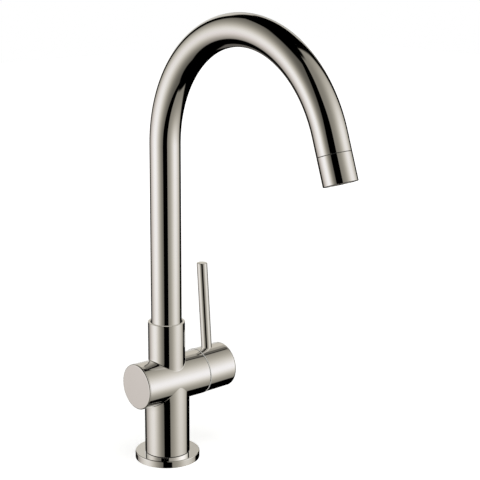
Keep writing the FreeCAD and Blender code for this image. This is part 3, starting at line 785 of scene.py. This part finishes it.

# %% [markdown]
# ## Handle
# The handle looks like the last stretch of the barrel, but it points up by a degree or two. Its inner
# end is hollowed to a ball about the lever's pivot, so that it can tilt without opening a gap. Its
# sizes run along its own axis from that pivot. Underneath, a drilled hole holds the screw that clamps
# it. A pale ring fills the seam beside the barrel and moves with the handle; its white is a painted
# highlight, the bright line along the seam.

# %% Axis of the handle
pivot_inset = 15.0 * MM
seam_gap = 1.0 * MM
handle_radius = barrel_radius
handle_length = 31.2 * MM
handle_rise = np.radians(1.6)
handle_axis = np.array([np.cos(handle_rise), 0, np.sin(handle_rise)])
handle_up = np.array([-np.sin(handle_rise), 0, np.cos(handle_rise)])
pivot = np.array([barrel_right - pivot_inset, 0, barrel_height])
rim_out = pivot_inset + seam_gap
handle_out = rim_out + handle_length
swing_clearance = 0.25 * MM
cup_radius = np.hypot(pivot_inset - chamfer, barrel_radius) + swing_clearance
print("pivot at", np.round(pivot, 4), "cup radius", round(float(cup_radius), 5))

# %% Handle body
clamp_low, clamp_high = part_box("handle_grub_screw")
clamp_x = (clamp_low.x + clamp_high.x) / 2
clamp_radius = (clamp_high.x - clamp_low.x) / 2 + screw_fit
clamp_depth = 10 * MM
clamp_out = (clamp_x - pivot[0] - barrel_radius * np.sin(handle_rise)) / np.cos(handle_rise)
clamp_reach = HOLE_ROWS[0] * hole_block(handle_radius)
underneath = 3 * np.pi / 2
end_round = 3.0 * MM
beside_hole = 1 * MM
cup_turn = np.linspace(0, np.arccos(rim_out / cup_radius), 24)
cup = cup_radius * np.column_stack([np.sin(cup_turn), np.cos(cup_turn)])
inner_end = outline(
    tuple(cup[-1]), (handle_radius, rim_out, fine_edge),
    (handle_radius, clamp_out - clamp_reach - beside_hole))
outer_end = outline(
    (handle_radius, clamp_out + clamp_reach + beside_hole),
    (handle_radius, handle_out, end_round), (0, handle_out))
inner_rows = turned(np.concatenate([cup[:-1], inner_end]), pivot, handle_axis)
clamp_rows, inside = holed_rows(
    handle_radius, clamp_out, underneath, clamp_radius, -1, pivot, handle_axis)
handle_grid = np.concatenate([inner_rows, clamp_rows, turned(outer_end, pivot, handle_axis)])
clamp_wall = drilled_wall(clamp_rows[hole_loop(inside)], AXIS_Z, clamp_depth)
clamp_faces = hole_faces(inside, len(inner_rows), len(handle_grid))
handle = mesh_piece("handle_body_plated", handle_grid, clamp_wall, open_faces=clamp_faces)
stand_in(handle, "handle_body")

# %% Pale ring in the seam, a painted highlight
ring_start = pivot_inset + slip_fit
ring_stop = rim_out - slip_fit
ring_inner = np.sqrt(cup_radius**2 - ring_start**2)
ring_outer = barrel_radius + 0.35 * MM
# Painted highlight: the white of this ring stands in for the bright line along the handle's seam.
thin_ring(
    "seam_highlight_ring", ring_inner, ring_outer, ring_start, ring_stop, pivot, handle_axis,
    finishes["white_acetal"], "handle")

# %% [markdown]
# ## Lever
# A slim rod stands on the handle and leans a little towards the column. It is a plain turned bar with
# a softened top edge, let into a shallow seat. It is made in two lengths that meet flush, because only
# the lower one shows again in the top of the handle.

# %% Lever rod
lean = np.radians(3.7)
lever_axis = np.array([-np.sin(lean), 0, np.cos(lean)])
lever_radius = 4.9 * MM
lever_length = 83.0 * MM
lever_setback = 11.6 * MM
lever_foot = pivot + handle_axis * (rim_out + lever_setback) + handle_up * barrel_radius
lever_seat = -1.0 * MM
lever_split = 14.0 * MM
lever_round = 0.6 * MM
base_outline = outline(
    (0, lever_seat), (lever_radius, lever_seat), (lever_radius, lever_split), (0, lever_split))
lever_base = mesh_piece("lever_base_plated", turned(base_outline, lever_foot, lever_axis))
lever_outline = outline(
    (0, lever_split), (lever_radius, lever_split),
    (lever_radius, lever_length, lever_round), (0, lever_length))
lever = mesh_piece("lever_rod_plated", turned(lever_outline, lever_foot, lever_axis))
for length in (lever_base, lever):
    stand_in(length, "lever_rod")

# %% [markdown]
# ## Bonnet
# Under the rim of the handle a domed ring closes the mouth of the barrel. It is a zone of a ball about
# the pivot, so the handle glides over it, and it shows when the lever is lifted.

# %% Bonnet
dome_foot = bonnet_high.z - barrel_height
dome_radius = np.hypot(pivot_inset, dome_foot)
dome_wall = 1.5 * MM
opening_angle = np.arccos((bonnet_high.x - pivot[0]) / dome_radius)
outer_turn = np.linspace(np.arcsin(dome_foot / dome_radius), opening_angle, 20)
plug_radius = mouth_radius - slip_fit
plug_wall = 1.6 * MM


def dome_arc(radius, angle):
    """Outline of a ball about the pivot: (radius sin a, place of the pivot + radius cos a)."""
    return np.column_stack([radius * np.sin(angle), pivot[0] + radius * np.cos(angle)])


plug = np.array([
    [plug_radius - plug_wall, bonnet_low.x], [plug_radius, bonnet_low.x],
    [plug_radius, barrel_right]])
dome_outline = np.concatenate([
    plug, dome_arc(dome_radius, outer_turn), dome_arc(dome_radius - dome_wall, outer_turn[::-1]),
    plug[:1]])
bonnet = mesh_piece("bonnet_plated", turned(dome_outline, barrel_origin, AXIS_X))
stand_in(bonnet, "bonnet", satin)

# %% [markdown]
# ## What the metal mirrors
# In the photograph the tap mirrors the studio, and hardly itself. Only where one piece stands on
# another does its foot show again: the lever in the handle, the stem in the flange and in the left
# underside of the barrel, and the collar in the left of the barrel's top. So most pieces are left out
# of reflections. The lever's lower length, two dark joints and the mouth of the spout stay in.

# %% Pieces that show in reflections
mirrored = [lever_base, foot_shade_ring, tip_seal, sleeve, nodes["aerator_insert"]]
for piece in scene.objects:
    piece.visible_glossy = piece in mirrored
print("in reflections", [piece.name for piece in mirrored])

# %% [markdown]
# The stem and the collar belong to one casting with the barrel, so they can't be let in by themselves.
# Walls just inside their own take their place. Only reflections see them, from their outer side, and a
# wall may end at a plane that keeps its right side away.

# %% Walls that stand for the casting
image_inset = 0.05 * MM
WHOLE, LEFT_PART, LEFT_HALF = 1.1, -0.7, 0.0
# Radius of the piece, low and high end, and up to which share of the radius, to the right, it is kept
image_walls = {
    "foot_image": (stem_radius, joint_top, flange_top + 12 * MM, WHOLE),
    "stem_image": (stem_radius, barrel_height - 45 * MM, barrel_height, LEFT_PART),
    "collar_image": (collar_radius, barrel_height, barrel_height + 38 * MM, LEFT_HALF)}
image_colour = (*np.mean(NICKEL_TONES, axis=0), 1.0)
image_plate = {"Base Color": image_colour, "Metallic": 1.0, "Roughness": 0.04}


def empty_material(name, mesh):
    """A new material without nodes on a mesh, and the wire that nodes are added with."""
    material = bpy.data.materials.new(name)
    material.use_nodes = True
    material.node_tree.nodes.clear()
    mesh.materials.append(material)
    return Wire(material.node_tree)


def only_in_reflections(piece, shader):
    """Make a piece that only reflections see, from its front: its shader there, and nothing at its
    back."""
    piece.visible_camera = False
    piece.visible_diffuse = False
    piece.visible_shadow = False
    clear = shader.node("ShaderNodeBsdfTransparent")
    back = shader.node("ShaderNodeNewGeometry", output="Backfacing")
    face = shader.node("ShaderNodeMixShader", inputs={0: back, 1: shader, 2: clear})
    shader.node("ShaderNodeOutputMaterial", inputs={"Surface": face})


for name, (radius, low, high, reach) in image_walls.items():
    radius = radius - image_inset
    wall = turned(outline((radius, low), (radius, high)), DECK_CENTRE, AXIS_Z)
    image = mesh_piece(name, wall, open_faces=wall[:-1, :, 0] > reach * radius)
    plate = empty_material(name, image.data)
    only_in_reflections(image, plate.node("ShaderNodeBsdfPrincipled", inputs=image_plate))

# %% [markdown]
# ## Camera
# The camera stands a little above the tap and to its left, and looks slightly down. Its place was
# fitted to edges of the photograph, and a small sideways shift keeps the framing.

# %% Camera
camera_azimuth = np.radians(-36.870)
camera_distance = 1.18745
camera_height = 0.49841
camera_pitch = 0.23957
camera_aside = 0.03454
IMAGE_WIDTH = 480
focal_pixels = 1352.74
centre_column = 211.2
to_camera = (np.sin(camera_azimuth), -np.cos(camera_azimuth), 0.0)
to_right = (np.cos(camera_azimuth), np.sin(camera_azimuth), 0.0)

camera_data = bpy.data.cameras.new("photo_camera")
camera_data.sensor_width = 36.0
camera_data.lens = focal_pixels / IMAGE_WIDTH * camera_data.sensor_width
camera_data.shift_x = (IMAGE_WIDTH / 2 - centre_column) / IMAGE_WIDTH
camera = linked("photo_camera", camera_data)
camera.location = (to_camera[0] * camera_distance, to_camera[1] * camera_distance, camera_height)
camera.rotation_euler = (np.pi / 2 - camera_pitch, 0, camera_azimuth - camera_aside)
bpy.context.scene.camera = camera
print("lens", round(camera_data.lens, 2), "shift", round(camera_data.shift_x, 4))

# %% [markdown]
# ## Studio
# Metal shows what stands round it, so the studio is the real subject of this picture. Two tall soft
# panels stand left and right, brightest in their middles. The gap between them, where the camera
# stands, leans to the left above the horizon. The world draws all this by direction: one angle, the
# turn, is counted round from the camera's side, the other, the climb, up from the horizon. Both are in
# degrees.

# %% Directions in the studio
scene.view_settings.view_transform = "Standard"
world = bpy.data.worlds.new("studio")
scene.world = world
world.use_nodes = True
world.node_tree.nodes.clear()
sky = Wire(world.node_tree)
direction = sky.node("ShaderNodeTexCoord", output="Generated")
DEGREES = 180 / np.pi
LEAN_HORIZON = (-12.0, 12.0)
LEAN_TOP = (15.0, 50.0)
LOW_START, LOW_RATE = -20.0, 0.2


def dot(vector, fixed):
    """Dot product of a direction with a fixed vector."""
    inputs = {0: vector, 1: fixed}
    return sky.node("ShaderNodeVectorMath", {"operation": "DOT_PRODUCT"}, inputs, output="Value")


def above(value):
    """The value where it is positive, else 0."""
    return sky.math("MAXIMUM", value, 0.0)


turn = sky.math("ARCTAN2", dot(direction, to_right), dot(direction, to_camera)) * DEGREES
climb = sky.math("ARCSINE", dot(direction, (0.0, 0.0, 1.0))) * DEGREES
facing = 0.5 + 0.5 * sky.math("COSINE", turn / DEGREES)


def leaning(horizon, top):
    """The turn with the lean of the gap added, most on the camera's side: so many degrees come in
    across the horizon and more near the top, and far below it slowly leans back."""
    lean_up = horizon * ease(climb, *LEAN_HORIZON) + top * ease(climb, *LEAN_TOP)
    return turn + facing * (lean_up - LOW_RATE * above(LOW_START - climb))


print("world nodes so far", len(sky.tree.nodes))

# %% [markdown]
# A panel is a low even glow plus a bell-shaped bright middle: exp(-(a^2 + b^2) / 2), where a and b are
# the distances from the middle, each divided by a spread that may differ to either side. The middle
# leans outwards with height. Soft edges cut the panel off, and its far corners run off at a slant.

# %% Two soft panels
SLANT_TOP = 47.0
OUTER_SOFT, INNER_SOFT, LOW_SOFT, HIGH_SOFT = 4.0, 1.5, 2.5, 3.0


def spread(distance, below, beyond):
    """Distance divided by one spread where it is negative and by another where it is positive."""
    return above(distance) / beyond - above(0.0 - distance) / below


def soft_panel(side, middle, across, upright, glow, peak, edges, slant):
    """Light of one panel. The side angle is counted from the camera's direction, positive towards the
    panel. The middle is (angle, height, lean), across and upright are the spreads (below, beyond) it,
    the edges are (inner, outer, low, high), and the slant tells how fast the outer edge draws in
    below a height and above SLANT_TOP: (height, rate below, rate above)."""
    inner, outer, low, high = edges
    rise = climb - middle[1]
    a = spread(side - (middle[0] + middle[2] * rise), *across)
    b = spread(rise, *upright)
    light = glow + peak * sky.math("EXPONENT", -0.5 * (a * a + b * b))
    outer = outer - slant[1] * above(slant[0] - climb) - slant[2] * above(climb - SLANT_TOP)
    light = light * ease(side - outer, OUTER_SOFT, -OUTER_SOFT)
    light = light * ease(side, inner - INNER_SOFT, inner + INNER_SOFT)
    light = light * ease(climb, low - LOW_SOFT, low + LOW_SOFT)
    return light * ease(climb, high + HIGH_SOFT, high - HIGH_SOFT)


left_panel = soft_panel(
    0.0 - leaning(horizon=18.5, top=2.0), middle=(78.5, -8.0, 0.15), across=(25.7, 35.5),
    upright=(21.0, 26.3), glow=0.11, peak=1.0, edges=(16.3, 137.0, -68.0, 60.5),
    slant=(-19.0, 0.9, 2.3))
right_panel = soft_panel(
    leaning(horizon=7.0, top=10.5), middle=(80.7, 0.0, 0.3), across=(24.3, 29.6),
    upright=(21.5, 29.9), glow=0.25, peak=0.88, edges=(16.2, 133.0, -64.0, 78.5),
    slant=(0.0, 0.65, 0.3))
print("world nodes with the panels", len(sky.tree.nodes))

# %% [markdown]
# Behind the tap hang two cards, which the metal shows as thin lines along its outer edges. The left one
# is dim far down and bright from a little below the horizon, and the right one is short. Everything
# else is dark.

# %% Two cards behind
CARD_EDGE = (157.0, 160.0)
RIGHT_CARD_WIDER = 5.0
MIDDLE_SOFT = 1.0
LEFT_CARD_STEPS = [(0.12, -47.0, -43.0), (0.65, -14.0, -9.0), (-0.12, 2.0, 14.0)]
LEFT_CARD_TOP = (36.0, 30.0)
RIGHT_CARD_LIGHT = 0.56
RIGHT_CARD_FOOT = (2.0, 12.0)
RIGHT_CARD_TOP = (32.0, 26.0)
right = ease(turn, -MIDDLE_SOFT, MIDDLE_SOFT)
behind = ease(sky.math("ABSOLUTE", turn) + RIGHT_CARD_WIDER * right, *CARD_EDGE)
left_card = ease(climb, *LEFT_CARD_TOP) * stairs(climb, *LEFT_CARD_STEPS)
right_card = RIGHT_CARD_LIGHT * ease(climb, *RIGHT_CARD_FOOT) * ease(climb, *RIGHT_CARD_TOP)
card = behind * (left_card + right * (right_card - left_card))
print("world nodes with the cards", len(sky.tree.nodes))

# %% [markdown]
# The camera itself sees plain white. In the metal, dim light is a little warmer than bright light, low
# on the far left it is slightly pink, and what is mirrored twice is raised and cooled, because two
# bounces would dim and tint it more than the photograph shows.

# %% Colour and strength of the light
STUDIO_LEVEL = 0.93
SECOND_GAIN = 0.6
SECOND_BOUNCE = (2.0, 3.0)
PINK_TURN = (98.0, 106.0)
PINK_CLIMB = (0.0, -8.0)
seen = sky.node("ShaderNodeLightPath", output="Is Camera Ray")
unseen = 1 - seen
twice = ease(sky.node("ShaderNodeLightPath", output="Ray Depth"), *SECOND_BOUNCE)
light = left_panel + right_panel + card
bright = light * light
pink = ease(0.0 - turn, *PINK_TURN) * ease(climb, *PINK_CLIMB)


def channel(even, lit, second, blush):
    """One colour channel, as 1 plus shares: one everywhere, one by how bright the light is, one for
    second reflections, and one for the pink at the far left."""
    return 1 + unseen * (even + lit * bright + second * twice + blush * pink)


red = channel(even=0.025, lit=-0.04, second=-0.05, blush=0.025)
blue = channel(even=-0.11, lit=0.14, second=0.09, blush=0.04)
tint = sky.node("ShaderNodeCombineColor", inputs={"Red": red, "Green": 1.0, "Blue": blue})
strength = seen + STUDIO_LEVEL * unseen * light * (1 + SECOND_GAIN * twice)
background = sky.node("ShaderNodeBackground", inputs={"Color": tint, "Strength": strength})
sky.node("ShaderNodeOutputWorld", inputs={"Surface": background})
print("world nodes", len(sky.tree.nodes))

# %% [markdown]
# The floor is a plain pale sheet that turns to full white a little way off, so no horizon shows. It
# keeps the tap's soft shadow but does not mirror in the metal, where the panels reach below the level
# of the deck.

# %% Floor
floor_size = 3.0
floor_white = (0.3, 1.2)
floor_glow = 0.70
floor_colour = (0.92, 0.92, 0.92, 1)


def flat_sheet(name, corners):
    """An object of one face with four corners."""
    mesh = bpy.data.meshes.new(name)
    mesh.from_pydata(corners, [], [(0, 1, 2, 3)])
    return linked(name, mesh)


floor = flat_sheet("floor", np.array([[-1, -1, 0], [1, -1, 0], [1, 1, 0], [-1, 1, 0]]) * floor_size)
floor.visible_glossy = False
paper = empty_material("floor_paper", floor.data)
spot = paper.node("ShaderNodeTexCoord", output="Object")
distance = paper.node("ShaderNodeVectorMath", {"operation": "LENGTH"}, {0: spot}, output="Value")
to_lens = paper.node("ShaderNodeLightPath", output="Is Camera Ray")
level = to_lens * (floor_glow + (1 - floor_glow) * ease(distance, *floor_white))
matte = paper.node("ShaderNodeBsdfDiffuse", inputs={"Color": floor_colour})
glow = paper.node("ShaderNodeEmission", inputs={"Color": (1, 1, 1, 1), "Strength": level})
paper_sheet = paper.node("ShaderNodeAddShader", inputs={0: matte, 1: glow})
paper.node("ShaderNodeOutputMaterial", inputs={"Surface": paper_sheet})
print("floor", floor_size * 2, "m across")

# %% [markdown]
# A level card hangs well above the barrel, to the right and behind. The tops of barrel and handle
# mirror it in soft stripes, which the world couldn't give, because the card is near. Only reflections
# see it, from below. A wide lamp overhead gives the floor its shadow and isn't mirrored.

# %% Level card and lamp
card_height = 0.30
card_left, card_right = 0.11, 0.6
card_front, card_back = 0.004, 0.5
card_stripes = [(0.13, card_front, 0.012), (0.24, 0.05, 0.065), (0.25, 0.1, 0.16)]
card_colour = (1.0, 0.98, 0.9, 1)
reflector = flat_sheet("reflector", [
    (card_left, card_front, card_height), (card_left, card_back, card_height),
    (card_right, card_back, card_height), (card_right, card_front, card_height)])
felt = empty_material("reflector_card", reflector.data)
spot = felt.node("ShaderNodeTexCoord", output="Object")
depth = felt.node("ShaderNodeSeparateXYZ", inputs={"Vector": spot}, output="Y")
shine = {"Color": card_colour, "Strength": stairs(depth, *card_stripes)}
only_in_reflections(reflector, felt.node("ShaderNodeEmission", inputs=shine))

lamp_data = bpy.data.lights.new("overhead", "AREA")
lamp_data.shape = "DISK"
lamp_data.size = 1.4
lamp_data.energy = 9.0
lamp = linked("overhead", lamp_data)
lamp.location = (-0.3, -0.5, 1.8)
lamp.rotation_euler = (np.radians(15), np.radians(-9), 0)
lamp.visible_glossy = False
print("card at", card_height, "lamp at", tuple(round(v, 2) for v in lamp.location))
